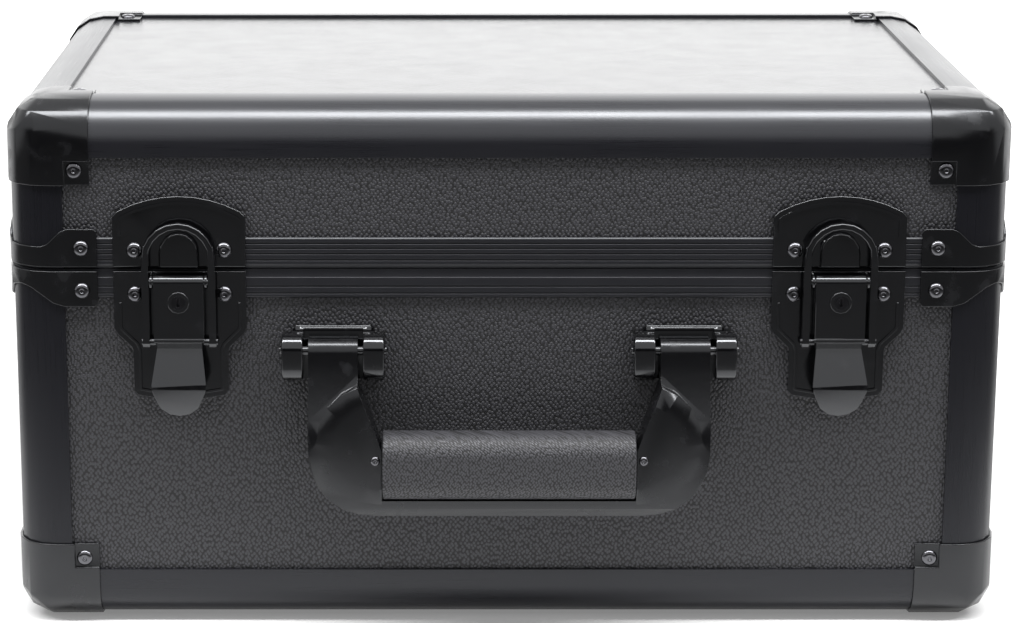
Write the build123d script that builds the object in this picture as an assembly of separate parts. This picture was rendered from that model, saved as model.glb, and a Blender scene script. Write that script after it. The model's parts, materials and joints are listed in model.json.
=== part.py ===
from build123d import *
import os
from math import asin, atan, cos, degrees, radians, sin

os.makedirs("parts", exist_ok=True)

# Case shell, in millimetres, over the rails
case_w = 415.0
case_d = 266.0
base_h = 154.4
lid_h = 69.6
lip = 1.5
panel_t = 4.0
slot_gap = 0.1
rail_r = 17.0
rail_wall = 7.0
slot_floor = 13.0
leg = 23.0
rail_gap = 0.1
web = 1.5
bend_steps = 4

# Corner caps and seam brackets
cap_t = 1.2
cap_over = 11.5
cap_rivet = 5.2
cap_dome = 1.4
bracket_reach = 37.0
bracket_rivet = 30.5
bracket_gap = 0.9
rivet_z = 9.0

# Seam rims
seam_gap = 0.2
lid_face_z = 1.9
base_face_z = 3.7
lid_rim_h = 13.2
base_rim_h = 12.4
lid_seat = 3.5
base_seat = 5.0
tongue_in = 7.4
tongue_out = 8.6
tongue_h = 4.0

# Rivets
rivet_r = 3.5
rivet_dome = 1.8
rivet_sides = 6
rivet_taper = 40.0

# Hinges on the rear rims
hinge_in = 80.0
hinge_w = 50.0
leaf_t = 1.4
leaf_h = 12.3
leaf_rivet_z = 7.6
leaf_pitch = 17.0
knuckle_r = 3.0
knuckle_gap = 0.1
pin_r = 1.5
turn_fit = 0.05
side_gap = 0.3

# Draw latches
latch_in = 71.0
plate_t = 1.5
plate_w = 55.0
plate_rivet_x = 18.5
keeper_rivet_z = 8.3
latch_rivet_z = -10.3
keeper_top = 31.0
keeper_side = 24.6
boss_w = 16.5
boss_top = 15.8
boss_p = 6.0
lever_w = 20.8
lever_skin = 1.5
lever_face = 11.5
pivot_z = -4.0
pivot_p = 8.6
barrel_r = 2.9
ear_x = 10.8
ear_t = 1.0
pivot_r = 1.3
bail_z = -30.0
bail_p = 6.4
bail_back = 6.3
bail_front = 9.8
bail_in = 12.3
bail_out = 15.2
bail_top = 21.0
lock_z = -12.0
lock_r = 3.0
collar_r = 4.6
collar_t = 0.7

# Carry handle
handle_x = 73.0
arm_w = 20.5
lug_w = 8.8
lug_gap = 2.2
lug_p = 13.5
lug_top = -26.5
lug_bottom = -46.0
lug_bend = 6.0
foot_t = 2.0
hang_z = -33.5
hang_p = 7.5
hang_r = 2.0
eye_r = 5.2
grip_w = 104.8
grip_top = -66.0
grip_bottom = -94.0
grip_front = 28.0
grip_back = 9.5
grip_bend = 9.2
grip_heel = 5.0
frame_bottom = -102.0
frame_r = 28.0
swell_x = 54.0
swell_z = -70.0
swell_r = 26.0
swell_p = 25.5
swell_foot = 21.6
swell_slope = 7.5

# Inside
liner_t = 2.0
liner_gap = 0.1
floor_pad = 5.0
row_w = 88.5
divider_t = 5.6
wall_t = 4.0
insert_in = 13.0
insert_drop = 32.8
foam_t = 20.0

# Lid stays
stay_t = 1.5
stay_in = 10.1
stay_gap = 0.2
stay_w = 13.0
stud_r = 2.0
slot_fit = 0.8
boss_r = 6.0
head_r = 3.6
head_t = 0.7
lid_stop = 95.0
stay_turn = 32.0
lid_pin = (60.0, 20.0)
base_pin = (75.0, -30.0)

hw, hd = case_w / 2, case_d / 2
latch_x, hinge_x = hw - latch_in, hw - hinge_in
insert_x, stay_x = hw - insert_in, hw - stay_in
z_low = cap_t
seam = z_low + base_h
z_top = seam + lid_h
face_y = hd - lip
plate_p = lip + plate_t
corner = leg + rail_gap
edge = slot_floor + slot_gap
skin_in = lip + panel_t + slot_gap
liner_q = rail_wall + liner_gap
hinge_p = lip + leaf_t + knuckle_gap + knuckle_r
y_shift = (grip_front - hinge_p - knuckle_r) / 2
MIN3 = (Align.MIN, Align.MIN, Align.MIN)
MIN2 = (Align.MIN, Align.MIN)


def save(name, *solids):
    """Writes a node, moved so that the whole part is centred over the origin."""
    flat = []
    for item in solids:
        flat += [Pos(0, y_shift, 0) * s for s in item.solids()]
    export_step(Compound(children=flat) if len(flat) > 1 else flat[0], f"parts/{name}.step")


def outline(*lines):
    return make_face([e for line in lines for e in line.edges()])


def bend(centre, radius, start, end, steps):
    """Points along an arc, for a bend drawn with flats."""
    angles = [radians(start + (end - start) * k / steps) for k in range(steps + 1)]
    return [(centre[0] + radius * cos(a), centre[1] + radius * sin(a)) for a in angles]


def block(low, high):
    size = [b - a for a, b in zip(low, high)]
    return Pos(*low) * Box(*size, align=MIN3)


def pair(solid):
    return [solid, mirror(solid, Plane.YZ)]


def quad(solid):
    return [b for a in pair(solid) for b in (a, mirror(a, Plane.XZ))]


def front(x):
    """Local x stays, local y is height over the seam, local z stands out of the front panel."""
    return Plane((x, -face_y, seam), x_dir=(1, 0, 0), z_dir=(0, -1, 0)).location


def back(x):
    return Plane((x, face_y, seam), x_dir=(-1, 0, 0), z_dir=(0, 1, 0)).location


def side(sketch, low, high):
    """Extrudes a (height, stand-out) drawing from one local x to another."""
    return Pos(low, 0, 0) * extrude(Plane.YZ * sketch, high - low)


def rivet(head_z, radius=rivet_r, dome=rivet_dome):
    """Riveted head, seated at local height head_z; its shank is out of sight."""
    return Pos(0, 0, head_z) * extrude(RegularPolygon(radius, rivet_sides), dome, taper=rivet_taper)


def held_pin(height, out, radius, clear, end):
    """Round pin over the clear width between its two holders, with a flat-sided head on each end."""
    shaft = side(Pos(height, out) * Circle(radius), -clear, clear)
    head = side(Pos(height, out) * RegularPolygon(radius, 10), clear, end)
    return shaft + head + mirror(head, Plane.YZ)


# Rails: one hollow section with a slot for each of its two panels
def rounded(u, v, radius):
    corner_bend = bend((radius, radius), radius, 180, 270, bend_steps)
    return outline(Polyline(*corner_bend, (u, 0), (u, v), (0, v), close=True))


def rail_section():
    slot = panel_t + slot_gap
    blank = rounded(leg, leg, rail_r)
    blank -= Pos(rail_wall, rail_wall) * Rectangle(leg, leg, align=MIN2)
    blank -= Pos(lip, slot_floor) * Rectangle(slot, leg, align=MIN2)
    blank -= Pos(slot_floor, lip) * Rectangle(leg, slot, align=MIN2)
    hollow, inner = slot_floor - web, rail_wall - web
    start = 180 + degrees(asin((rail_r - inner) / (rail_r - lip)))
    low = bend((rail_r, rail_r), rail_r - lip, start, start + 20, 2)
    chamber = outline(Polyline(*low, (hollow, inner), close=True))
    return blank - chamber - mirror(chamber, Plane((0, 0, 0), x_dir=(1, 1, 0), z_dir=(1, -1, 0)))


def rail(origin, u_dir, v_dir, length):
    normal = Vector(*u_dir).cross(Vector(*v_dir))
    plane = Plane(origin, x_dir=u_dir, z_dir=normal)
    return extrude(plane * rail_section(), length / 2, both=True)


def rails(z, up):
    long = rail((0, -hd, z), (0, 1, 0), (0, 0, up), case_w - 2 * corner)
    short = rail((hw, 0, z), (-1, 0, 0), (0, 0, up), case_d - 2 * corner)
    end = z + up * corner
    stop = seam - up * seam_gap
    post = rail((hw, -hd, (end + stop) / 2), (-1, 0, 0), (0, 1, 0), abs(stop - end))
    return long, short, post


# Panels
def panels(z, up, seat):
    """Flat panel, front panel and right panel of the base or the lid."""
    skin = z + up * lip
    flat = block(
        (edge - hw, edge - hd, min(skin, skin + up * panel_t)),
        (hw - edge, hd - edge, max(skin, skin + up * panel_t)),
    )
    far = z + up * edge
    near = seam - up * (seat + slot_gap)
    low, high = min(far, near), max(far, near)
    wall = block((edge - hw, -face_y, low), (hw - edge, -face_y + panel_t, high))
    flank = block((hw - lip - panel_t, edge - hd, low), (hw - lip, hd - edge, high))
    return flat, wall, flank


# Rims: channels on the panel edges that meet at the seam
def rim_section(lid):
    if lid:
        seat, top, foot = lid_seat, lid_rim_h, lid_face_z
        grooves = (10.4, 8.3, 6.0, 3.4)
    else:
        seat, top, foot = base_seat, base_rim_h, base_face_z
        grooves = (10.0, 7.1)
    tall = top - 2.8
    loop = Polyline(
        (1.0, seam_gap), (1.0, foot), (0, foot), (0, top - 0.6), (0.6, top), (lip, top),
        (lip, seat), (skin_in, seat), (skin_in, tall), (rail_wall, tall),
        (rail_wall, seam_gap), close=True,
    )
    face = outline(loop)
    for z in grooves:
        face -= Pos(0, z) * Rectangle(0.9, 0.7, align=(Align.CENTER, Align.MIN))
    if not lid:
        face += outline(Polyline(
            (rail_wall, seam_gap), (rail_wall, tongue_h), (tongue_out, tongue_h),
            (tongue_out, -tongue_h + 0.5), (tongue_out - 0.5, -tongue_h),
            (tongue_in, -tongue_h), (tongue_in, seam_gap), close=True,
        ))
    return face


def rim(origin, inward, length, lid):
    """The section is drawn with x inward from the rail face and y away from the seam."""
    away = (0, 0, 1 if lid else -1)
    normal = Vector(*inward).cross(Vector(*away))
    plane = Plane(origin, x_dir=inward, z_dir=normal)
    return extrude(plane * rim_section(lid), length / 2, both=True)


def rims(lid):
    long = rim((0, -hd, seam), (0, 1, 0), case_w - 2 * corner, lid)
    short = rim((hw, 0, seam), (-1, 0, 0), case_d - 2 * corner, lid)
    return [long, mirror(long, Plane.XZ)] + pair(short)


# Corner caps, drawn at the front left bottom corner with x, y and z inward
corner_planes = (Plane.XY, Plane.YZ, Plane((0, 0, 0), x_dir=(0, 0, 1), z_dir=(0, 1, 0)))


def ball_corner(reach, grow):
    """Block with its three outer edges bent and the corner between them a ball in flats."""
    solid = block((-grow,) * 3, reach)
    radius = rail_r + grow
    shape = Pos(-grow, -grow) * rounded(reach[2] * 2, reach[2] * 2, radius)
    for plane in corner_planes:
        solid &= extrude(plane.offset(-grow) * shape, reach[2] + grow)
    for tilt in ((1, 1, 1), (2, 1, 1), (1, 2, 1), (1, 1, 2)):
        inward = Vector(*tilt).normalized()
        touch = Vector(rail_r, rail_r, rail_r) - inward * radius
        solid = split(solid, Plane(touch, z_dir=inward), keep=Keep.TOP)
    return solid


def cap_lug(normal):
    low, high = [leg + rail_gap] * 3, [leg + cap_over] * 3
    low[normal], high[normal] = -cap_t, lip
    cut_low = [value + cap_t for value in low]
    cut_high = [value + 1 for value in high]
    cut_low[normal], cut_high[normal] = -cap_t - 1, lip - cap_t
    return block(low, high), block(cut_low, cut_high)


def corner_cap():
    """Pressed cap over the ends of three rails, with the block in its corner that they butt."""
    cap = ball_corner([leg + cap_over] * 3, cap_t)
    room = rounded(4 * leg, 4 * leg, rail_r)
    start, depth, slot = leg + rail_gap / 2, 4 * leg, lip + panel_t + slot_gap
    for plane in corner_planes:
        cap -= extrude(plane.offset(start) * room, depth)
    cap -= block([rail_wall] * 3, [depth] * 3)
    for normal in range(3):
        low, high = [slot_floor] * 3, [depth] * 3
        low[normal], high[normal] = lip, slot
        cap -= block(low, high)
        lug, cut = cap_lug(normal)
        cap = cap + lug - cut
    return cap


def shell_rivets():
    """Rivet frames on the three lugs of the cap at the front left corner."""
    spot = leg + cap_rivet
    return [
        Plane((spot, lip, spot), x_dir=(1, 0, 0), z_dir=(0, -1, 0)),
        Plane((lip, spot, spot), x_dir=(0, -1, 0), z_dir=(-1, 0, 0)),
        Plane((spot, spot, lip), x_dir=(-1, 0, 0), z_dir=(0, 0, -1)),
    ]


def bracket_rivets(height):
    return [
        Plane((bracket_rivet, lip, height), x_dir=(1, 0, 0), z_dir=(0, -1, 0)),
        Plane((lip, bracket_rivet, height), x_dir=(0, -1, 0), z_dir=(-1, 0, 0)),
    ]


def bracket(tall, short, start, end):
    """Seam bracket round a vertical corner, z away from the seam, that rises from start to end."""
    reach = bracket_reach + cap_t
    wrap = Pos(-cap_t, -cap_t) * rounded(reach, reach, rail_r + cap_t)
    wrap -= rounded(2 * reach, 2 * reach, rail_r)
    body = Pos(0, 0, bracket_gap) * extrude(wrap, tall - bracket_gap)
    drop, run = tall - short, end - start
    shape = outline(Polyline(
        (start, short), (start, 0), (bracket_reach, 0), (bracket_reach, tall - cap_t),
        (bracket_reach - cap_t, tall), (end, tall), (end - 0.25 * run, tall - 0.15 * drop),
        (start + 0.25 * run, short + 0.15 * drop), close=True))
    leaf = extrude(Plane.XZ * shape, 5, both=True)
    keep = leaf + mirror(leaf, Plane((0, 0, 0), x_dir=(1, 1, 0), z_dir=(1, -1, 0)))
    keep += block((-5, -5, 0), (start, start, short))
    return body & keep


def place_low(solid):
    return Pos(-hw, -hd, z_low) * solid


def place_high(solid):
    return Pos(-hw, -hd, z_top) * mirror(solid, Plane.XY)


def place_seam(solid, lid):
    return Pos(-hw, -hd, seam) * (solid if lid else mirror(solid, Plane.XY))


def shell(lid):
    """Everything of one half of the shell, with the rivets that hold its corners."""
    name = "lid" if lid else "base"
    z, up = (z_top, -1) if lid else (z_low, 1)
    corner_place = place_high if lid else place_low
    rivets = []
    for frame in shell_rivets():
        rivets += quad(corner_place(frame.location * rivet(cap_t, dome=cap_dome)))
    for frame in bracket_rivets(rivet_z):
        rivets += quad(place_seam(frame.location * rivet(lip + cap_t), lid))
    long, short, post = rails(z, up)
    save(f"{name}_front_rail", long)
    save(f"{name}_back_rail", mirror(long, Plane.XZ))
    save(f"{name}_side_rails", *pair(short))
    save(f"{name}_corner_posts", *quad(post))
    flat, wall, flank = panels(z, up, lid_seat if lid else base_seat)
    save(f"{name}_top_panel" if lid else f"{name}_floor_panel", flat)
    save(f"{name}_front_panel", wall)
    save(f"{name}_back_panel", mirror(wall, Plane.XZ))
    save(f"{name}_right_panel", flank)
    save(f"{name}_left_panel", mirror(flank, Plane.YZ))
    save(f"{name}_rim", *rims(lid))
    save(f"{name}_corner_caps", *quad(corner_place(corner_cap())))
    wing = bracket(17.0, 9.5, 13.5, 24.5) if lid else bracket(16.0, 7.0, 5.0, 23.0)
    save(f"{name}_rim_brackets", *quad(place_seam(wing, lid)))
    save(f"{name}_shell_rivets", *rivets)


# Hinges: local y over the seam, local z out of the rear panel
def knuckles(lid):
    third = (hinge_w - 2 * side_gap) / 3
    if lid:
        return [(-third / 2, third / 2)]
    return [(-hinge_w / 2, -hinge_w / 2 + third), (hinge_w / 2 - third, hinge_w / 2)]


def hinge_leaf(lid):
    plate = block((-hinge_w / 2, side_gap, lip), (hinge_w / 2, leaf_h, lip + leaf_t))
    for low, high in knuckles(lid):
        ring = side(Pos(0, hinge_p) * RegularPolygon(knuckle_r, 12), low, high)
        neck = block((low, 0.5, lip), (high, knuckle_r - 0.4, hinge_p))
        plate += ring + neck
    if lid:
        return plate - side(Pos(0, hinge_p) * Circle(pin_r + turn_fit), -hinge_w, hinge_w)
    return plate + held_pin(0, hinge_p, pin_r, hinge_w / 6 + side_gap, hinge_w / 2 + 0.4)


def hinges():
    """Writes the hinges and returns their rivets, for the lid and for the base."""
    head = Pos(0, leaf_rivet_z, 0) * rivet(lip + leaf_t, 2.4, 1.0)
    lid_rivets = [Pos(x, 0, 0) * head for x in (-leaf_pitch, 0, leaf_pitch)]
    spread = [back(-hinge_x), back(hinge_x)]
    save("hinge_lid_leaves", *[at * hinge_leaf(True) for at in spread])
    save("hinge_base_leaves", *[at * mirror(hinge_leaf(False), Plane.XZ) for at in spread])
    upper = [at * item for at in spread for item in lid_rivets]
    lower = [at * mirror(item, Plane.XZ) for at in spread for item in lid_rivets]
    return upper, lower


# Latch plates: local y over the seam, local z out of the front panel
def pressed_plate(shape, ridge_keep, flange_keep):
    """Sheet plate with a flange back to the panel and a raised line inside its edge."""
    plate = Pos(0, 0, lip) * extrude(shape, plate_t)
    flange = shape - offset(shape, -1.2, kind=Kind.INTERSECTION)
    plate += extrude(flange & flange_keep, lip)
    line = offset(shape, -2.2, kind=Kind.INTERSECTION) - offset(shape, -3.4, kind=Kind.INTERSECTION)
    return plate + Pos(0, 0, plate_p) * extrude(line & ridge_keep, 0.5)


def keeper_plate():
    half, shoulder = plate_w / 2, 2.2
    span, rise = half - shoulder, keeper_top - keeper_side
    arch_r = (span ** 2 + rise ** 2) / (2 * rise)
    lean = degrees(asin(span / arch_r))
    arch = bend((0, keeper_top - arch_r), arch_r, 90 - lean, 90 + lean, 8)
    foot = [(-half, keeper_side - shoulder), (-half, 1.0), (half, 1.0), (half, keeper_side - shoulder)]
    shape = outline(Polyline(*foot, *arch, close=True))
    above_rim = Pos(0, lid_rim_h + 0.1) * Rectangle(80, 60, align=(Align.CENTER, Align.MIN))
    ridge = Pos(0, lid_rim_h + 0.8) * Rectangle(80, 60, align=(Align.CENTER, Align.MIN))
    plate = pressed_plate(shape, ridge, above_rim)
    half = boss_w / 2
    round_top = bend((0, boss_top - half), half, 0, 180, 8)
    tongue = outline(Polyline((-half, 1.0), (half, 1.0), *round_top, close=True))
    boss = extrude(tongue, boss_p - plate_p)
    boss = chamfer(boss.faces().sort_by(Axis.Z)[-1].edges(), 0.7)
    return plate + Pos(0, 0, plate_p) * boss


def latch_outline():
    half, waist = plate_w / 2, 19.75
    right = [(half, -0.8), (half, -25.0), (half - 1.0, -27.2), (waist + 0.6, -33.2), (waist, -35.0),
             (waist, -52.0), (waist - 1.6, -53.9), (0, -57.0)]
    left = [(-x, y) for x, y in reversed(right[:-1])]
    return outline(Polyline(*right, *left, close=True))


def ear_profile():
    knob = bend((pivot_z, pivot_p), barrel_r, 0, 180, 6)
    return outline(Polyline((pivot_z - 3.0, plate_p), (pivot_z + 3.0, plate_p), *knob, close=True))


def latch_plate():
    """Plate with the two ears and the pivot pin that runs through both."""
    below_rim = Pos(0, -base_rim_h - 0.1) * Rectangle(80, 60, align=(Align.CENTER, Align.MAX))
    ridge = Pos(0, -14.0) * Rectangle(80, 60, align=(Align.CENTER, Align.MAX))
    plate = pressed_plate(latch_outline(), ridge, below_rim)
    ear = side(ear_profile(), ear_x, ear_x + ear_t)
    pin = held_pin(pivot_z, pivot_p, pivot_r, ear_x, ear_x + ear_t + 0.3)
    return plate + ear + mirror(ear, Plane.YZ) + pin


def lever_side():
    outer = [(-4.0, lever_face), (-27.2, lever_face), (-27.8, 12.1), (-29.0, 12.1), (-29.6, 10.0),
             (-32.0, 9.8), (-45.4, 17.8), (-47.5, 18.3), (-54.0, 17.2), (-60.0, 14.2)]
    inner = [(-59.3, 12.8), (-54.0, 15.6), (-47.6, 16.7), (-45.9, 16.3), (-32.4, 8.2),
             (-27.0, 8.4), (-26.4, lever_face - lever_skin), (-4.0, lever_face - lever_skin)]
    return outline(Polyline(*outer, *inner, close=True))


def lever_front():
    half = lever_w / 2
    right = [(half, 0), (half, -29.0), (9.3, -29.4), (9.3, -32.0), (11.25, -45.6), (11.0, -48.5)]
    left = [(-x, y) for x, y in reversed(right)]
    tip = bend((0, -50.2), 9.8, -10, -170, 6)
    return outline(Polyline(*right, *tip, *left, close=True))


def latch_lever():
    half = lever_w / 2
    lever = side(lever_side(), -12, 12)
    wall = outline(Polyline((-4.0, 5.6), (-4.0, 10.6), (-29.0, 10.6), (-32.4, 8.4), (-33.0, 6.4),
                              (-31.4, 4.3), (-9.0, 4.3), close=True))
    for low in (-half, half - 1.4):
        lever += side(wall, low, low + 1.4)
    lever += side(Pos(pivot_z, pivot_p) * RegularPolygon(barrel_r, 12), -half, half)
    lever &= extrude(lever_front(), 30)
    lever += Pos(0, lock_z, lever_face) * extrude(RegularPolygon(collar_r, 12), collar_t)
    lever -= side(Pos(pivot_z, pivot_p) * Circle(pivot_r + turn_fit), -20, 20)
    stub = side(Pos(bail_z, bail_p) * Circle(pin_r), half - 0.5, bail_out + 0.5)
    lever += stub + mirror(stub, Plane.YZ)
    return lever - Pos(0, lock_z, 10) * Cylinder(lock_r + turn_fit, 12)


def latch_bail():
    centre = bail_top - bail_out
    outer = bend((0, centre), bail_out, 0, 180, 10)
    inner = bend((0, centre), bail_in, 180, 0, 10)
    arch = outline(Polyline((bail_out, bail_z), *outer, (-bail_out, bail_z), (-bail_in, bail_z),
                            *inner, (bail_in, bail_z), close=True))
    bail = Pos(0, 0, bail_back) * extrude(arch, bail_front - bail_back)
    for low in (-bail_out, bail_in):
        bail += side(Pos(bail_z, bail_p) * RegularPolygon(2.6, 12), low, low + bail_out - bail_in)
    return bail - side(Pos(bail_z, bail_p) * Circle(pin_r + turn_fit), -20, 20)


def lock_plug():
    up = (Align.CENTER, Align.CENTER, Align.MIN)
    plug = Pos(0, 0, 8.2) * Cylinder(lock_r, 4.0, align=up)
    plug -= Pos(0, 0, 10.6) * Box(1.1, 3.4, 4.0, align=up)
    cam = Pos(0, 1.5, 6.8) * Box(3.6, 9.0, 1.4, align=(Align.CENTER, Align.MAX, Align.MIN))
    return Pos(0, lock_z, 0) * (plug + cam)


def latch(side_name, x):
    """Writes one latch and returns its rivets on the lid and on the base."""
    at = front(x)
    save(f"keeper_plate_{side_name}", at * keeper_plate())
    save(f"latch_plate_{side_name}", at * latch_plate())
    save(f"latch_lever_{side_name}", at * latch_lever())
    save(f"latch_bail_{side_name}", at * latch_bail())
    save(f"lock_plug_{side_name}", at * lock_plug())
    return [[at * Pos(a, z, 0) * rivet(plate_p) for a in (-plate_rivet_x, plate_rivet_x)]
            for z in (keeper_rivet_z, latch_rivet_z)]


# Carry handle
def handle_bracket():
    """Foot plate with two rounded lugs and their pin, local x from the middle of the arm."""
    inner = arm_w / 2 + lug_gap
    outer = inner + lug_w
    mid, tall = (lug_top + lug_bottom) / 2, lug_top - lug_bottom
    foot = Pos(0, mid + 0.7) * Rectangle(inner + outer, tall + 3.4)
    solid = extrude(chamfer(foot.vertices(), 1.5), foot_t)
    shoulder = lug_p - lug_bend
    rise = bend((lug_top - lug_bend, shoulder), lug_bend, 0, 90, 4)
    fall = bend((lug_bottom + lug_bend, shoulder), lug_bend, 90, 180, 4)
    lug = side(outline(Polyline((lug_bottom, 0), (lug_top, 0), *rise, *fall, close=True)), inner, outer)
    solid += lug + mirror(lug, Plane.YZ)
    solid += block((-inner, lug_top - 2.6, foot_t), (inner, lug_top + 1.6, foot_t + 1.4))
    return solid + held_pin(hang_z, hang_p, hang_r, inner, outer + 0.9)


def frame_front():
    half = handle_x + arm_w / 2
    inner = handle_x - arm_w / 2
    low = bend((half - frame_r, frame_bottom + frame_r), frame_r, 0, -90, 6)
    mirrored = [(-x, y) for x, y in reversed(low)]
    outer = outline(Polyline((half, hang_z), *low, *mirrored, (-half, hang_z), close=True))
    window = outline(Polyline(
        (-inner, -20.0), (inner, -20.0), (inner, -46.0), (55.5, -64.0), (53.0, -71.5),
        (-53.0, -71.5), (-55.5, -64.0), (-inner, -46.0), close=True))
    return outer - window


def frame_side():
    outer = [(hang_z, hang_p + eye_r), (-42.0, 13.6), (-51.0, 16.6), (-60.0, 19.6), (-67.0, 21.4),
             (-74.0, 22.0), (-93.0, 22.0), (-98.0, 21.0), (frame_bottom, 18.5)]
    inner = [(frame_bottom, 12.5), (-97.0, 11.0), (-74.0, 10.5), (-66.0, 10.0), (-58.0, 8.4),
             (-50.0, 6.2), (-42.0, 4.0), (hang_z, hang_p - eye_r)]
    return outline(Polyline(*outer, *inner, close=True))


def swell():
    """Swollen inner corner of the frame, a button with a sloped border round the grip's end."""
    slope = swell_p - swell_foot
    button = Pos(0, 0, 11.0) * extrude(RegularPolygon(swell_r, 20), swell_foot - 11.0)
    taper = degrees(atan(swell_slope / slope))
    button += Pos(0, 0, swell_foot) * extrude(RegularPolygon(swell_r, 20), slope, taper=taper)
    return Pos(swell_x, swell_z, 0) * button


def handle():
    half = grip_w / 2
    frame = extrude(frame_front(), 40) & side(frame_side(), -90, 90)
    keep = extrude(frame_front(), 40) & block((half + 0.4, -110, 0), (90, -40, 40))
    bulge = swell() & keep
    frame += bulge + mirror(bulge, Plane.YZ)
    for x in (-handle_x, handle_x):
        frame += side(Pos(hang_z, hang_p) * RegularPolygon(eye_r, 12), x - arm_w / 2, x + arm_w / 2)
    core_low, core_high, core_back, core_front = -89.5, -71.5, 13.0, 21.0
    frame -= block((-half - 0.4, core_low - 5.0, 0), (half + 0.4, core_low, 40))
    frame -= block((-half - 0.4, core_low - 1, 0), (half + 0.4, core_high + 1, core_back))
    frame -= block((-half - 0.4, core_low - 1, core_front), (half + 0.4, core_high + 1, 40))
    frame -= side(Pos(hang_z, hang_p) * Circle(hang_r + turn_fit), -120, 120)
    spots = [(x, -76.0) for x in (-half - 3.0, half + 3.0)]
    screw = rivet(swell_p, 2.1, 1.0)
    section = outline(Polyline(
        *bend((grip_top - grip_bend, grip_front - grip_bend), grip_bend, 0, 90, 5),
        *bend((grip_bottom + grip_bend, grip_front - grip_bend), grip_bend, 90, 180, 5),
        *bend((grip_bottom + grip_heel, grip_back + grip_heel), grip_heel, 180, 270, 3),
        *bend((grip_top - grip_heel, grip_back + grip_heel), grip_heel, 270, 360, 3), close=True))
    core = outline(Polyline((core_low, core_back), (core_high, core_back),
                              (core_high, core_front), (core_low, core_front), close=True))
    grip = side(section - core, -half, half)
    at = front(0)
    save("handle_frame", at * frame)
    save("handle_grip", at * grip)
    save("handle_screws", *[at * (Pos(x, y, 0) * screw) for x, y in spots])
    spread = [front(-handle_x), front(handle_x)]
    save("handle_brackets", *[s * handle_bracket() for s in spread])


# Lid stays: points are (forward of the hinge line, over the seam)
def turned(point, angle):
    c, s = cos(radians(angle)), sin(radians(angle))
    return (point[0] * c - point[1] * s, point[0] * s + point[1] * c)


def stud_path(share):
    """Where the base stud stands in the closed stay's own frame, from the lid pin."""
    swing, turn = lid_stop * share, stay_turn * share
    pin = turned(lid_pin, swing)
    return turned((base_pin[0] - pin[0], base_pin[1] - pin[1]), -turn)


def at_side(solid, x):
    """Drawing in (forward, height), extruded inward, put at the right side from x."""
    plane = Plane((x, hinge_y, seam), x_dir=(0, -1, 0), z_dir=(-1, 0, 0))
    return plane.location * solid


hinge_y = face_y + hinge_p


def band(points, width):
    """Strip of sheet along a line of points, with rounded ends."""
    way = [Vector(*point) for point in points]
    ahead = [b - a for a, b in zip(way, way[1:])]
    ahead = [(a + b) for a, b in zip([ahead[0]] + ahead, ahead + [ahead[-1]])]
    across = [Vector(-run.Y, run.X).normalized() * (width / 2) for run in ahead]
    near = [point + out for point, out in zip(way, across)]
    far = [point - out for point, out in zip(way, across)]
    strip = outline(Polyline(*near, *reversed(far), close=True))
    tips = [Pos(*points[0]), Pos(*points[-1])]
    return strip + [tip * RegularPolygon(width / 2, 10) for tip in tips]


def stay_arm():
    """Arm from the lid pin, with a slot along the way the base stud goes in it."""
    way = [stud_path(k / 6) for k in range(7)]
    mid, last = stud_path(0.5), stud_path(1)
    neck = (mid[0] * 0.62, mid[1] * 0.62)
    spine = ThreePointArc((0, 0), neck, last)
    joints = [spine @ (k / 5) for k in range(6)]
    body = band([(point.X, point.Y) for point in joints], stay_w)
    body -= band(way, 2 * (stud_r + slot_fit))
    body -= Circle(stud_r + turn_fit)
    return extrude(Pos(*lid_pin) * body, stay_t)


def stud(point, shaft):
    """Spacer against the panel, pin through the arm and a head inside it."""
    wall_x = hw - lip - panel_t
    spacer = wall_x - stay_x - stay_gap
    span = spacer + stay_t + 2 * stay_gap
    body = extrude(RegularPolygon(boss_r, 8), spacer)
    body += extrude(shaft, span)
    body += Pos(0, 0, span) * extrude(RegularPolygon(head_r, 8), head_t)
    return at_side(Pos(*point) * body, wall_x)


def liner_ring(low, high, holes):
    """Four foam sheets against the inside of the walls."""
    q = liner_q
    long = block((q - hw, q - hd, low), (hw - q, q + liner_t - hd, high))
    short = block((hw - q - liner_t, q + liner_t - hd + 0.1, low), (hw - q, hd - q - liner_t - 0.1, high))
    short -= holes
    return [long, mirror(long, Plane.XZ)] + pair(short)


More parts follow.
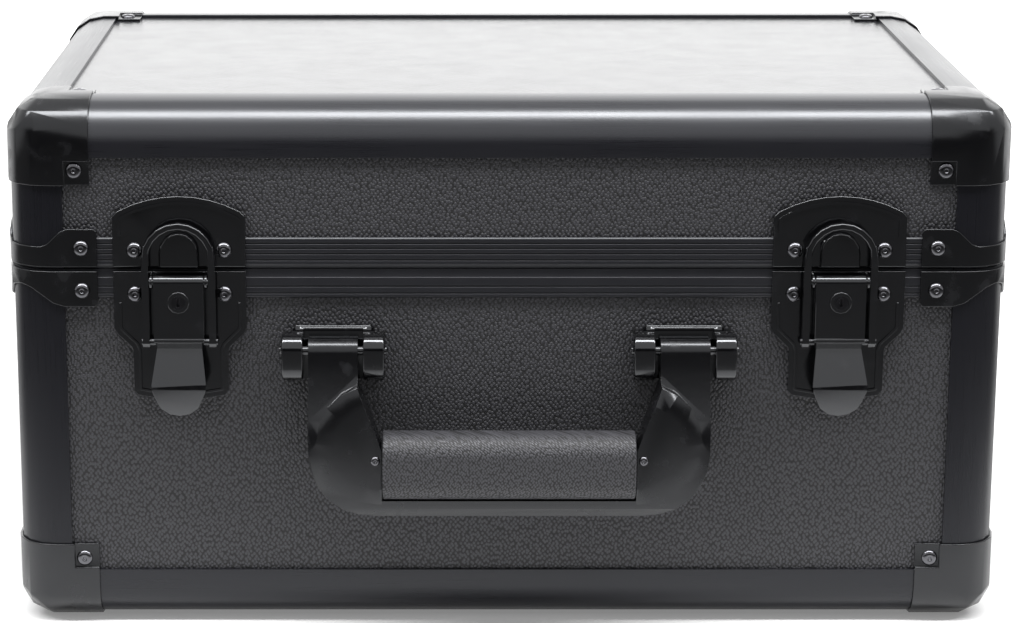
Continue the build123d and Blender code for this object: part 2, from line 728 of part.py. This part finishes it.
def inside():
    window = 2 * (boss_r + stay_gap)
    spot_lid = at_side(Pos(*lid_pin) * Box(window, window, 30), hw)
    spot_base = at_side(Pos(*base_pin) * Box(window, window, 30), hw)
    save("lid_liner_walls", *liner_ring(seam + 6.0, z_top - rail_wall - 0.4, [spot_lid]))
    floor_z = z_low + liner_q
    save("base_liner_walls", *liner_ring(floor_z, seam - 5.0, [spot_base]))
    q = liner_q + liner_t + 0.2
    save("base_liner_floor", block((q - hw, q - hd, floor_z), (hw - q, hd - q, floor_z + floor_pad)))
    top = z_top - liner_q
    save("lid_foam_pad", block((q - hw, q - hd, top - foam_t), (hw - q, hd - q, top)))
    low = floor_z + floor_pad + 0.1
    high = seam - insert_drop
    pitch = row_w + divider_t
    count = int((2 * insert_x - 2 * wall_t + divider_t) // pitch)
    rows = count * pitch - divider_t
    far = hd - q
    long = block((-insert_x, -far, low), (insert_x, -far + wall_t, high))
    flank = block((rows / 2, -far + wall_t, low), (insert_x, far - wall_t, high))
    save("insert_walls", long, mirror(long, Plane.XZ), *pair(flank))
    board = block((-divider_t / 2, -far + wall_t, low), (divider_t / 2, far - wall_t, high))
    save("row_dividers", *[Pos(pitch * (k - count / 2), 0, 0) * board for k in range(1, count)])
    arm = at_side(stay_arm(), stay_x)
    save("stay_arm_right", arm)
    save("stay_arm_left", mirror(arm, Plane.YZ))
    save("stay_pivots", *pair(stud(lid_pin, Circle(stud_r))))
    save("stay_studs", *pair(stud(base_pin, RegularPolygon(stud_r, 10))))


def build():
    lid_heads, base_heads = hinges()
    for name, x in (("left", -latch_x), ("right", latch_x)):
        heads = latch(name, x)
        lid_heads += heads[0]
        base_heads += heads[1]
    save("hardware_rivets_lid", *lid_heads)
    save("hardware_rivets_base", *base_heads)
    shell(True)
    shell(False)
    handle()
    inside()


build()
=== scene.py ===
import bpy, bmesh, json
from math import cos, pi, radians, sin
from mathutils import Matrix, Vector

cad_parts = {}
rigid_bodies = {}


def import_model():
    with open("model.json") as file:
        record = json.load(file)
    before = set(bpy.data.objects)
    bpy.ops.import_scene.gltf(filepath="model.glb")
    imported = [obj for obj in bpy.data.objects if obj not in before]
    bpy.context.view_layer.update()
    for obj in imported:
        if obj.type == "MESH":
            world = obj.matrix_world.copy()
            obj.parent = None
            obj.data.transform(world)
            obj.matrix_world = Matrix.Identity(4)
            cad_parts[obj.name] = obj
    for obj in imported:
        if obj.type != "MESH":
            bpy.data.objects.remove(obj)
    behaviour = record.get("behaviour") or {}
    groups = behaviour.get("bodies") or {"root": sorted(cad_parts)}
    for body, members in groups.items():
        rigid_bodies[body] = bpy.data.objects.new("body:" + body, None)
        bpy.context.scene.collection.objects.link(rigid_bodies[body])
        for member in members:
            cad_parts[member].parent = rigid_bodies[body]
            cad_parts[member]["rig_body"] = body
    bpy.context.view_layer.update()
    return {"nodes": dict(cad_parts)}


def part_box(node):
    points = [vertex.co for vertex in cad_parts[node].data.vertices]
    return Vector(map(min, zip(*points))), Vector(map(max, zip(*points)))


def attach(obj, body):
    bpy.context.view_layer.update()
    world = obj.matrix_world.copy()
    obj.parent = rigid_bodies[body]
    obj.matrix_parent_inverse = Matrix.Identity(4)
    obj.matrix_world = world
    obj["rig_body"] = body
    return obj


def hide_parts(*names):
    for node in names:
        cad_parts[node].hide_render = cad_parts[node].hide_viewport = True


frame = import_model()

scene = bpy.context.scene
scene.view_settings.view_transform = "Standard"


# Panels: 4 mm board faced with black ABS sheet, embossed with a fine pebble grain. They sit in the
# slots of the rails, so their solids stay and only take the finish. The lid's top has a flatter and
# glossier grain, set to its white glare. Sizes are in metres, noise in lumps to the metre.
class Field:
    """A value that varies over a surface; its sums add the nodes that work them out."""

    def __init__(self, recipe, socket):
        self.recipe, self.socket = recipe, socket

    def math(self, operation, first, second):
        return self.recipe.node("ShaderNodeMath", {"operation": operation}, {0: first, 1: second})

    def __add__(self, other):
        return self.math("ADD", self, other)

    def __sub__(self, other):
        return self.math("SUBTRACT", self, other)

    def __rsub__(self, other):
        return self.math("SUBTRACT", other, self)

    def __mul__(self, other):
        return self.math("MULTIPLY", self, other)

    __radd__, __rmul__ = __add__, __mul__


class Recipe:
    """The nodes of one finish, or of the studio's surround."""

    def __init__(self, tree):
        self.tree = tree

    def node(self, kind, settings, sockets, output=0):
        made = self.tree.nodes.new(kind)
        for key, value in settings.items():
            setattr(made, key, value)
        for key, value in sockets.items():
            self.fill(made.inputs[key], value)
        return Field(self, made.outputs[output])

    def fill(self, socket, value):
        if isinstance(value, Field):
            self.tree.links.new(value.socket, socket)
        elif socket.type == "RGBA":
            socket.default_value = (*value, 1.0)
        else:
            socket.default_value = value

    def blend(self, factor, first, second):
        return self.node("ShaderNodeMix", {"data_type": "RGBA"}, {0: factor, 6: first, 7: second}, 2)


class Finish(Recipe):
    """One material, with the point on the object in metres as its place."""

    def __init__(self, name, color, roughness, metallic=0.0):
        self.material = bpy.data.materials.new(name)
        self.material.use_nodes = True
        super().__init__(self.material.node_tree)
        self.shader = self.tree.nodes["Principled BSDF"]
        self.place = self.node("ShaderNodeTexCoord", {}, {}, "Object")
        self.set("Base Color", color)
        self.set("Roughness", roughness)
        self.set("Metallic", metallic)

    def set(self, key, value):
        self.fill(self.shader.inputs[key], value)
        return self

    def at(self, scale):
        """The place, stretched by one factor along each axis."""
        return self.node("ShaderNodeVectorMath", {"operation": "MULTIPLY"},
                         {0: self.place, 1: scale})

    def clouds(self, scale, detail=2.0, stretch=(1.0, 1.0, 1.0)):
        """Soft noise from 0 to 1, with its scale in lumps to the metre."""
        return self.node("ShaderNodeTexNoise", {},
                         {"Vector": self.at(stretch), "Scale": scale, "Detail": detail})

    def cells(self, scale):
        """The distance from the middle of the nearest of many small cells."""
        return self.node("ShaderNodeTexVoronoi", {"feature": "F1"},
                         {"Vector": self.place, "Scale": scale}, "Distance")

    def step(self, value, low, high):
        """0 under low and 1 over high, with a smooth rise between."""
        return self.node("ShaderNodeMapRange", {"interpolation_type": "SMOOTHSTEP"},
                         {"Value": value, "From Min": low, "From Max": high})

    def relief(self, height, distance):
        """Raises the surface by a field times a distance in metres."""
        bump = self.node("ShaderNodeBump", {}, {"Height": height, "Distance": distance}, "Normal")
        return self.set("Normal", bump)


# The share of the colour left in the gaps between pebbles: a painted shade.
oval, uneven, gap_painted_shade = 0.8, 0.55, 0.15
skin_noise, wear_noise, pore_noise = 900.0, 60.0, 2200.0


def pebbled(name, color, size, height, lying=False):
    """Embossed grain: staggered oval pebbles, shiny on top and dull in the gaps between, whose colour is
    darkened as painted shade.
    """
    sheet = Finish(name, color, 0.5)
    x, y, z = [sheet.node("ShaderNodeSeparateXYZ", {}, {"Vector": sheet.place}, k) for k in range(3)]
    along, up = (x, oval * y) if lying else (x + y, oval * z)
    stagger = sheet.node("ShaderNodeCombineXYZ", {}, {"X": along + up, "Y": along - up})
    pebbles = sheet.node("ShaderNodeTexVoronoi", {"feature": "F1", "voronoi_dimensions": "2D"},
                         {"Vector": stagger, "Scale": 1 / size, "Randomness": uneven}, "Distance")
    gaps = sheet.step(pebbles + 0.2 * sheet.clouds(skin_noise, 3.0), 0.32, 0.68)
    # The gaps get a darker colour: painted shade in the hollows of the grain.
    sheet.set("Base Color", sheet.blend(gaps, color, [c * gap_painted_shade for c in color]))
    sheet.set("Roughness", 0.36 + 0.2 * gaps + 0.08 * sheet.clouds(wear_noise, 3.0))
    return sheet.relief(0.1 * sheet.clouds(pore_noise, 3.0) - gaps, height)


sheet_black, pebble, emboss, pressed_flat = (0.042, 0.042, 0.049), 0.0019, 0.00025, 0.00002
panel_grain = pebbled("panel_grain", sheet_black, pebble, emboss)
panel_under = pebbled("panel_under", sheet_black, pebble, emboss, lying=True)
panel_top = pebbled("panel_top", (0.044, 0.044, 0.05), pebble, pressed_flat, lying=True)
panel_top.set("Roughness", 0.16 + 0.08 * panel_top.clouds(wear_noise, 3.0))
for panel in ("base_floor", "base_front", "base_back", "base_left", "base_right", "lid_top",
              "lid_front", "lid_back", "lid_left", "lid_right"):
    finish = {"lid_top": panel_top, "base_floor": panel_under}.get(panel, panel_grain)
    skin = frame["nodes"][panel + "_panel"].data.materials
    skin.clear()
    skin.append(finish.material)


# Rails and posts: extruded aluminium, satin black anodised, with fine lines along its length.
# Each is a copy of its solid with the saw-cut ends and extruded edges eased. It is one film on the
# real case: the index of each run is set to mirror the studio as brightly as it should.
one_point, one_face = 2e-6, radians(0.5)
edge_turn, crease_turn, edge_room = radians(33), radians(36), 2.1


def eased(node, finish, width=0.0003):
    """A copy of a solid whose outer edges are rounded over, as pressing or paint leaves them."""
    source = frame["nodes"][node]
    form = bmesh.new()
    form.from_mesh(source.data)
    bmesh.ops.remove_doubles(form, verts=form.verts, dist=one_point)
    bmesh.ops.dissolve_limit(form, angle_limit=one_face, verts=form.verts, edges=form.edges)
    sharp = [edge for edge in form.edges
             if edge.is_manifold and edge.is_convex and edge.calc_face_angle() > edge_turn]
    roomy = [edge for edge in sharp if all(near.calc_length() > edge_room * width
                                           for corner in edge.verts for near in corner.link_edges)]
    bmesh.ops.bevel(form, geom=roomy, offset=width, offset_type="OFFSET", segments=2,
                    profile=0.5, affect="EDGES", clamp_overlap=True)
    mesh = bpy.data.meshes.new(node + "_eased")
    form.to_mesh(mesh)
    form.free()
    mesh.shade_smooth()
    mesh.set_sharp_from_angle(angle=crease_turn)
    raw = bpy.data.objects.new("raw_" + node, mesh)
    scene.collection.objects.link(raw)
    raw.modifiers.new("flats stay flat", "WEIGHTED_NORMAL").keep_sharp = True
    ready = bpy.context.evaluated_depsgraph_get()
    mesh = bpy.data.meshes.new_from_object(raw.evaluated_get(ready))
    bpy.data.objects.remove(raw)
    mesh.materials.clear()
    mesh.materials.append(finish.material)
    piece = bpy.data.objects.new(node + "_shown", mesh)
    scene.collection.objects.link(piece)
    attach(piece, source["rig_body"])
    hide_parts(node)


# The reflections of the rails and the black paints get a faint blue tint: painted light, a cool colour
# of light put into the finish.
drawn, painted_cool_tint, line_depth = 0.012, (0.94, 0.96, 1.0), 0.000005


def anodised(name, stretch, ior):
    """Satin black oxide film, with drawing lines along the axis that is stretched."""
    rail = Finish(name, (0.008, 0.008, 0.01), 0.27)
    lines = rail.clouds(2600.0, 3.0, stretch)
    rail.set("Roughness", 0.2 + 0.1 * lines + 0.08 * rail.clouds(22.0, 3.0))
    rail.set("Base Color", rail.blend(lines, (0.005, 0.005, 0.007), (0.009, 0.009, 0.012)))
    rail.set("IOR", ior)
    # Faint blue tint in the reflections: painted light.
    rail.set("Specular Tint", painted_cool_tint)
    return rail.relief(lines, line_depth)


# These copies of one film differ in index only so that each run mirrors the studio lighter or darker:
# painted light and shade. The base's front and back rails take a dimmer copy than the lid's, a painted
# shade.
rail_x = anodised("rail_black_x", (drawn, 1.0, 1.0), ior=1.68)
rail_painted_shade_low = anodised("rail_black_low_painted_shade", (drawn, 1.0, 1.0), ior=1.42)
rail_y = anodised("rail_black_y", (1.0, drawn, 1.0), ior=1.56)
rail_z = anodised("rail_black_z", (1.0, 1.0, drawn), ior=1.38)
for half, along in (("base", rail_painted_shade_low), ("lid", rail_x)):
    eased(half + "_front_rail", along, width=0.00025)
    eased(half + "_back_rail", along, width=0.00025)
    eased(half + "_side_rails", rail_y)
    eased(half + "_corner_posts", rail_z)


# Rims: the channel sections that close the panel edges at the seam, in the same black.
# Their grooves are in the solid, and only the edges are eased here.
rim_black = anodised("rim_black", (0.02, 0.02, 1.0), ior=1.5)
rim_black.set("Roughness", 0.34 + 0.14 * rim_black.clouds(120.0, 4.0))
for half in ("base", "lid"):
    eased(half + "_rim", rim_black, width=0.00018)


# Corner caps and seam brackets: pressed steel under glossy black paint, with rolled edges,
# riveted over the ends of the rails and rims.
peel_depth = 0.000015


def painted(name, roughness):
    """Glossy black paint over pressed steel: faint orange peel and a few rubbed spots."""
    paint = Finish(name, (0.004, 0.004, 0.0045), roughness)
    peel = paint.clouds(420.0, 2.0)
    rubbed = paint.step(paint.clouds(95.0, 5.0), 0.56, 0.74)
    paint.set("Roughness", roughness + 0.05 * peel + 0.14 * rubbed)
    paint.set("Base Color", paint.blend(rubbed, (0.003, 0.003, 0.0035), (0.006, 0.006, 0.007)))
    # Faint blue tint in the reflections: painted light.
    paint.set("Specular Tint", painted_cool_tint)
    return paint.relief(peel, peel_depth)


cap_paint = painted("cap_black", roughness=0.19)
for half in ("base", "lid"):
    eased(half + "_corner_caps", cap_paint, width=0.0004)
    eased(half + "_rim_brackets", cap_paint, width=0.00035)


# Rivets: black nickelled domed heads, each with the dimple that the riveting tool leaves.
# They are turned here over the flat-sided heads of the solids, one for each.
spangle_depth = 0.00001


def plated(name, color, roughness):
    """Plated metal with a faint spangle, which is darker and smoother where it is low."""
    plate = Finish(name, color, roughness, 1.0)
    spangle = plate.clouds(260.0, 4.0)
    plate.set("Roughness", roughness + 0.18 * spangle)
    plate.set("Base Color", plate.blend(spangle, [c * 0.72 for c in color], color))
    return plate.relief(plate.clouds(1800.0, 3.0), spangle_depth)


rivet_plate = plated("rivet_black", (0.13, 0.13, 0.14), roughness=0.1)
head_fit, head_crease, head_sides, foot_turn = 0.97, radians(50), 28, radians(1)
# Each step of the head's outline is a share of its radius and a share of its height.
head_steps = ((0.16, 0.55), (0.2, 0.86), (0.28, 0.97), (0.42, 1.0), (0.6, 0.95), (0.78, 0.78),
              (0.92, 0.5), (0.99, 0.2), (1.0, 0.0))


def turned_head(form, centre, out, radius, height):
    """Lathes one head on its seat, with a dimple of its own small radius in the crown."""
    turn = out.to_track_quat("Z", "Y").to_matrix()
    rings = []
    for share, rise in head_steps:
        ring = []
        for k in range(head_sides):
            angle = 2 * pi * k / head_sides
            local = Vector((share * radius * cos(angle), share * radius * sin(angle), rise * height))
            ring.append(form.verts.new(centre + turn @ local))
        rings.append(ring)
    form.faces.new(rings[0])
    form.faces.new(rings[-1])
    for inner, outer in zip(rings, rings[1:]):
        for k in range(head_sides):
            after = (k + 1) % head_sides
            form.faces.new((inner[k], outer[k], outer[after], inner[after]))


def islands(mesh):
    """The separate solids of a node, each as its set of faces."""
    form = bmesh.new()
    form.from_mesh(mesh)
    bmesh.ops.remove_doubles(form, verts=form.verts, dist=one_point)
    bmesh.ops.dissolve_limit(form, angle_limit=foot_turn, verts=form.verts, edges=form.edges)
    waiting = set(form.verts)
    while waiting:
        group, reach = set(), [waiting.pop()]
        while reach:
            corner = reach.pop()
            group.add(corner)
            linked = {edge.other_vert(corner) for edge in corner.link_edges} & waiting
            waiting -= linked
            reach += linked
        yield {face for corner in group for face in corner.link_faces}
    form.free()


def rivets(node):
    """A turned head on the seat of each six-sided solid of a node."""
    form = bmesh.new()
    for faces in islands(frame["nodes"][node].data):
        flats = [face for face in faces if len(face.verts) == 6]
        flats.sort(key=lambda face: face.calc_area())
        crown, foot = flats[0], flats[-1]
        seat = foot.calc_center_median()
        out = crown.calc_center_median() - seat
        radius = max((corner.co - seat).length for corner in foot.verts) * head_fit
        turned_head(form, seat, out.normalized(), radius, out.length)
    bmesh.ops.recalc_face_normals(form, faces=form.faces)
    mesh = bpy.data.meshes.new(node + "_heads")
    form.to_mesh(mesh)
    form.free()
    mesh.shade_smooth()
    mesh.set_sharp_from_angle(angle=head_crease)
    mesh.materials.append(rivet_plate.material)
    piece = bpy.data.objects.new(node + "_shown", mesh)
    scene.collection.objects.link(piece)
    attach(piece, frame["nodes"][node]["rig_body"])
    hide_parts(node)


for node in ("base_shell_rivets", "lid_shell_rivets", "hardware_rivets_base",
             "hardware_rivets_lid", "handle_screws"):
    rivets(node)


# Draw latches: the plates are pressed, the lever and the wire bail that hooks the keeper
# are heavier steel, all in the same gloss black, and the lock plug is dark plated brass.
latch_paint = painted("latch_black", roughness=0.1)
latch_paint.set("IOR", 1.65)
plug_plate = plated("lock_steel", (0.05, 0.05, 0.055), roughness=0.16)
for hand in ("left", "right"):
    eased("keeper_plate_" + hand, latch_paint, width=0.0005)
    eased("latch_plate_" + hand, latch_paint, width=0.00017)
    eased("latch_lever_" + hand, latch_paint, width=0.0003)
    eased("latch_bail_" + hand, latch_paint, width=0.0008)
    eased("lock_plug_" + hand, plug_plate, width=0.00012)


# Carry handle: a glossy moulded frame with a soft grained grip sleeve, which swings on the pins
# of two steel brackets that are riveted to the front.
handle_gloss = painted("handle_black", roughness=0.22)
grip_grain = pebbled("grip_grain", (0.056, 0.056, 0.064), size=0.0014, height=0.00015)
eased("handle_brackets", latch_paint, width=0.0007)
eased("handle_frame", handle_gloss, width=0.0008)
eased("handle_grip", grip_grain, width=0.0006)


# Hinges and lid stays: black painted steel leaves, riveted on behind, and zinc-plated arms that
# hold the open lid, each between a pivot in the lid and a stud in the base.
hinge_paint = painted("hinge_steel", roughness=0.24)
stay_steel = plated("stay_steel", (0.5, 0.5, 0.49), roughness=0.26)
for node in ("hinge_base_leaves", "hinge_lid_leaves"):
    eased(node, hinge_paint, width=0.00025)
for node in ("stay_arm_left", "stay_arm_right", "stay_pivots", "stay_studs"):
    eased(node, stay_steel, width=0.00015)


# Inside: black EVA sheet on the walls, a wall and dividers of the same foam round the card rows,
# and a convoluted foam pad in the lid that holds the cards down.
pore_depth = 0.0002


def foamed(name, color):
    """Closed-cell foam: dull, with fine pores and slightly uneven colour."""
    foam = Finish(name, color, 0.95)
    pores = foam.cells(2400.0)
    patches = foam.clouds(35.0, 3.0)
    foam.set("Base Color", foam.blend(patches, color, [c * 1.5 for c in color]))
    foam.set("Specular IOR Level", 0.25)
    return foam.relief(pores, pore_depth)


eva = foamed("liner_eva", (0.016, 0.016, 0.017))
for node in ("base_liner_floor", "base_liner_walls", "lid_liner_walls"):
    eased(node, eva, width=0.0008)
for node in ("insert_walls", "row_dividers"):
    eased(node, eva, width=0.0014)

crate_pitch, crate_base, crate_grid, crate_blunt = 0.026, 0.007, 0.0026, 1.3
soft_grey = foamed("foam_grey", (0.045, 0.046, 0.05))


def egg_crate(low, high):
    """Foam sheet with rows of rounded peaks that point down, out of a plain backing."""
    count_x = round((high.x - low.x) / crate_grid)
    count_y = round((high.y - low.y) / crate_grid)
    depth = high.z - low.z - crate_base
    form = bmesh.new()
    rows = []
    for j in range(count_y + 1):
        y = low.y + (high.y - low.y) * j / count_y
        row = []
        for i in range(count_x + 1):
            x = low.x + (high.x - low.x) * i / count_x
            wave = cos(2 * pi * x / crate_pitch) * cos(2 * pi * y / crate_pitch)
            drop = depth * (0.5 + 0.5 * wave) ** crate_blunt
            row.append(form.verts.new((x, y, high.z - crate_base - drop)))
        rows.append(row)
    for near, far in zip(rows, rows[1:]):
        for i in range(count_x):
            form.faces.new((near[i], far[i], far[i + 1], near[i + 1]))
    rim = rows[0] + [row[-1] for row in rows[1:]]
    rim += rows[-1][-2::-1] + [row[0] for row in rows[-2:0:-1]]
    top = [form.verts.new((v.co.x, v.co.y, high.z)) for v in rim]
    for k in range(len(rim)):
        after = (k + 1) % len(rim)
        form.faces.new((rim[k], rim[after], top[after], top[k]))
    form.faces.new(top)
    bmesh.ops.recalc_face_normals(form, faces=form.faces)
    mesh = bpy.data.meshes.new("lid_foam")
    form.to_mesh(mesh)
    form.free()
    for face in mesh.polygons:
        face.use_smooth = face.loop_total < 5
    return mesh


foam_mesh = egg_crate(*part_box("lid_foam_pad"))
foam_mesh.materials.append(soft_grey.material)
lid_foam = bpy.data.objects.new("lid_foam", foam_mesh)
scene.collection.objects.link(lid_foam)
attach(lid_foam, "lid")
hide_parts("lid_foam_pad")


# Studio: a pale floor under a white surround, a bright strip lamp over the front edge that draws
# the long line on the rails, and a broad soft lamp behind that the lid's top mirrors.
def soft_lamp(name, place, target, width, height, watts):
    lamp = bpy.data.lights.new(name, "AREA")
    lamp.shape, lamp.size, lamp.size_y, lamp.energy = "RECTANGLE", width, height, watts
    held = bpy.data.objects.new(name, lamp)
    held.location = place
    held.rotation_euler = (Vector(target) - Vector(place)).to_track_quat("-Z", "Y").to_euler()
    scene.collection.objects.link(held)
    held.visible_camera = False


soft_lamp("top_strip", place=(0.0, -0.42, 1.34), target=(0, -0.2, 0.2), width=2.8, height=0.27, watts=51)
soft_lamp("rear_sky", place=(0.0, 2.0, 1.2), target=(0, 0, 0.22), width=3.6, height=2.3, watts=30)


def seen_white(recipe):
    """1 where the camera looks, straight or by a mirror or glass, and 0 for the light itself."""
    unseen = 1.0
    for ray in ("Is Camera Ray", "Is Glossy Ray", "Is Transmission Ray"):
        unseen = unseen * (1 - recipe.node("ShaderNodeLightPath", {}, {}, ray))
    return 1 - unseen


world = bpy.data.worlds.new("studio")
scene.world = world
world.use_nodes = True
surround = Recipe(world.node_tree)
backdrop = surround.tree.nodes["Background"].inputs
surround.fill(backdrop["Color"], (1.0, 1.0, 1.0))
fill_light = 0.3
surround.fill(backdrop["Strength"], fill_light + (1 - fill_light) * seen_white(surround))


def staged(name, corners, finish):
    """A flat piece of the studio, which is no part of the case."""
    mesh = bpy.data.meshes.new(name)
    mesh.from_pydata(corners, [], [(0, 1, 2, 3)])
    mesh.materials.append(finish.material)
    sheet = bpy.data.objects.new(name, mesh)
    scene.collection.objects.link(sheet)
    return sheet


# The floor keeps the shadow near the case, lifted there by a faint glow that is painted light, and
# further out it goes over into the white surround.
reach, shadow_reach, white_from = 4.0, 0.6, 1.3
floor_white = Finish("floor_white", (0.8, 0.8, 0.8), 0.9)
floor_white.set("Specular IOR Level", 0.1)
away = floor_white.node("ShaderNodeVectorMath", {"operation": "LENGTH"}, {0: floor_white.place}, "Value")
outer = floor_white.step(away, shadow_reach, white_from)
# Near the case the floor glows at 0.2 to the camera and to mirrors, painted light over its shadow;
# further out it glows white as the surround.
glow = floor_white.blend(outer, (0.2, 0.2, 0.2), (0.98, 0.98, 0.98))
floor_white.set("Emission Color", floor_white.blend(seen_white(floor_white), (0.0, 0.0, 0.0), glow))
floor_white.set("Emission Strength", 1.0)
staged("floor", [(-reach, -reach, 0), (reach, -reach, 0), (reach, reach, 0), (-reach, reach, 0)],
       floor_white)

# Black cloth on the floor in front and beside, and a black card behind the camera: the dark side
# of the studio, which the gloss of the front mirrors and the camera doesn't see.
cloth_black = Finish("cloth_black", (0.1, 0.1, 0.1), 1.0)
cloth_black.set("Specular IOR Level", 0.0)
card_y, card_z, cloth_back, cloth_z = -2.4, 0.75, 0.5, 0.002
side = cloth_black.node("ShaderNodeSeparateXYZ", {}, {"Vector": cloth_black.place}, "X")
depth = cloth_black.node("ShaderNodeSeparateXYZ", {}, {"Vector": cloth_black.place}, "Y")
aside = cloth_black.node("ShaderNodeMath", {"operation": "ABSOLUTE"}, {0: side})
beside = cloth_black.step(aside, 0.28, 0.6)
forward = cloth_black.step(-1 * depth, 0.14, 0.52)
level = cloth_black.step(-1 * depth, -cloth_back, 0.0)
cloth_black.set("Alpha", 1 - (1 - forward) * (1 - beside * level))
cloth = staged("dark_cloth", [(-reach, card_y, cloth_z), (reach, card_y, cloth_z),
                              (reach, cloth_back, cloth_z), (-reach, cloth_back, cloth_z)], cloth_black)
cloth.visible_camera = cloth.visible_shadow = False

card_black = Finish("card_black", (0.01, 0.01, 0.01), 1.0)
card_black.set("Specular IOR Level", 0.0)
card = staged("dark_card", [(-reach, card_y, 0.0), (reach, card_y, 0.0), (reach, card_y, card_z),
                            (-reach, card_y, card_z)], card_black)
card.visible_camera = card.visible_diffuse = card.visible_shadow = False

# Camera: where the photograph's was, by the fit of the case's known edges. The shift sideways is
# the photograph's own framing.
lens = bpy.data.cameras.new("camera")
lens.sensor_width, lens.lens, lens.shift_x = 36.0, 104.8, 0.0805
camera_tilt = 14.2
camera = bpy.data.objects.new("camera", lens)
camera.location = (-0.034, -1.318, 0.4396)
camera.rotation_euler = (radians(90 - camera_tilt), 0, 0)
scene.collection.objects.link(camera)
scene.camera = camera
